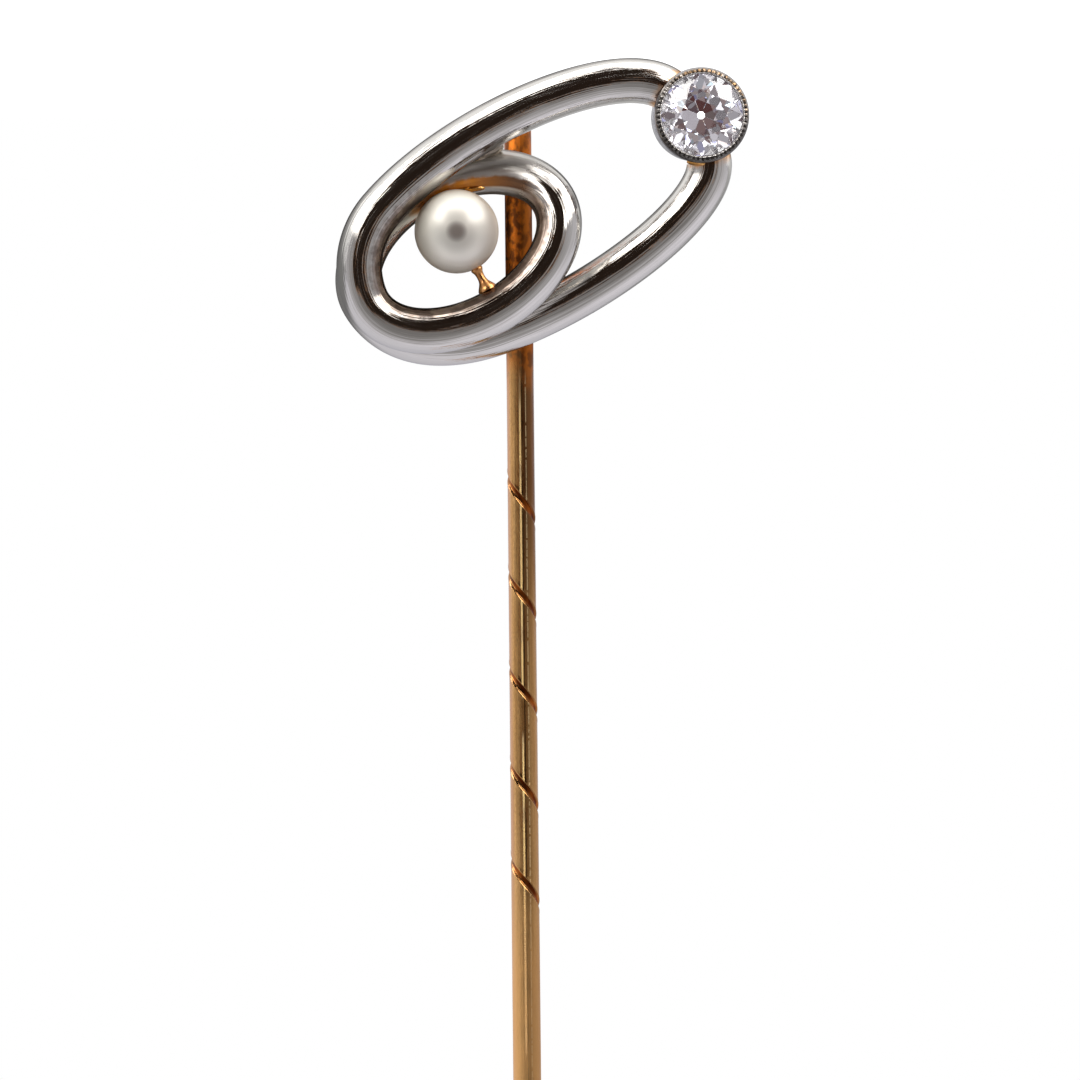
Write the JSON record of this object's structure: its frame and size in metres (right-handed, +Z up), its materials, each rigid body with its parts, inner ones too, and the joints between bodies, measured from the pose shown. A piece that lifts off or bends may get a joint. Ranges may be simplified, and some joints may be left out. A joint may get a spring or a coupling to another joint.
{
  "type": "stick pin",
  "caption": "Stick pin: an open double scroll of round wire with a collet-set round stone and a pearl on a peg, on a straight pointed stem with a spiral grip groove.",
  "frame": {"origin": "centre of the resting pin's box, at the surface that it lies on", "axes": "+Y along the stem from its point to the scroll, +Z up from the surface and towards the pin's front, +X to the collet's side"},
  "size_m": [0.0174, 0.0624, 0.0059],
  "materials": {
    "stem_gold": "satin drawn gold wire",
    "platinum": "polished platinum with light handling marks",
    "diamond": "polished facets",
    "pearl": "soft pearl lustre",
    "peg_gold": "polished rose gold"
  },
  "bodies": {
    "root": {"stem": "stem_gold", "scroll": "platinum", "diamond": "diamond", "pearl": "pearl", "pearl_peg": "peg_gold"}
  },
  "joints": []
}
